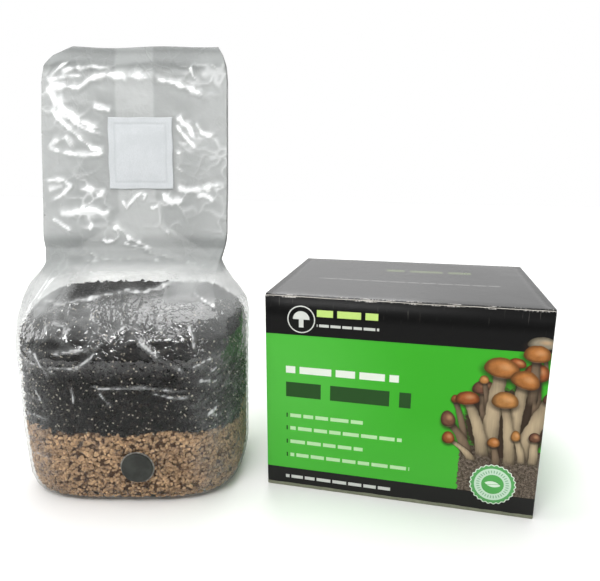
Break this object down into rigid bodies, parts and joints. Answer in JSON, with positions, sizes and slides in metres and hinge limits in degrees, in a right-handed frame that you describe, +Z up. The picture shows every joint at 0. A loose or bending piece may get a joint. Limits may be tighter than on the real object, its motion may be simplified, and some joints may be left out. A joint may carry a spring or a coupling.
{
  "type": "mushroom grow kit",
  "caption": "Clear gusseted grow bag of grain and dark substrate with a filter patch and injection port, standing beside its printed tuck-top carton.",
  "frame": {"origin": "on the table, at the bottom centre of the box around bag and carton together", "axes": "+X along the carton's width, from the bag towards the carton; +Y towards the carton's back; +Z up"},
  "size_m": [0.4357, 0.2308, 0.3686],
  "materials": {
    "clear_film": "crinkled clear polypropylene film",
    "grain": "dull moist seeds",
    "substrate": "moist dark crumbs",
    "filter_patch": "matt nonwoven",
    "black_rubber": "matt",
    "adhesive": "satin",
    "printed_board": "gloss laminated print",
    "black_board": "gloss laminated print",
    "plain_board": "plain uncoated board"
  },
  "bodies": {
    "kit": {"bag_film": "clear_film", "grain": "grain", "substrate": "substrate", "filter_patch": "filter_patch", "port_adhesive": "adhesive", "injection_port": "black_rubber", "carton_body": "printed_board"},
    "lid": {"carton_lid": "black_board"},
    "left_flap": {"dust_flap_left": "plain_board"},
    "right_flap": {"dust_flap_right": "plain_board"}
  },
  "joints": [
    {"name": "lid_crease", "type": "hinge", "parent": "kit", "child": "lid", "pos_m": [0.1099, 0.1154, 0.16835], "axis": [-1, 0, 0], "range_deg": [0, 180]},
    {"name": "left_flap_crease", "type": "hinge", "parent": "kit", "child": "left_flap", "pos_m": [0.00355, 0.0329, 0.1667], "axis": [0, 1, 0], "range_deg": [0, 85]},
    {"name": "right_flap_crease", "type": "hinge", "parent": "kit", "child": "right_flap", "pos_m": [0.21625, 0.0329, 0.1667], "axis": [0, -1, 0], "range_deg": [0, 85]}
  ]
}
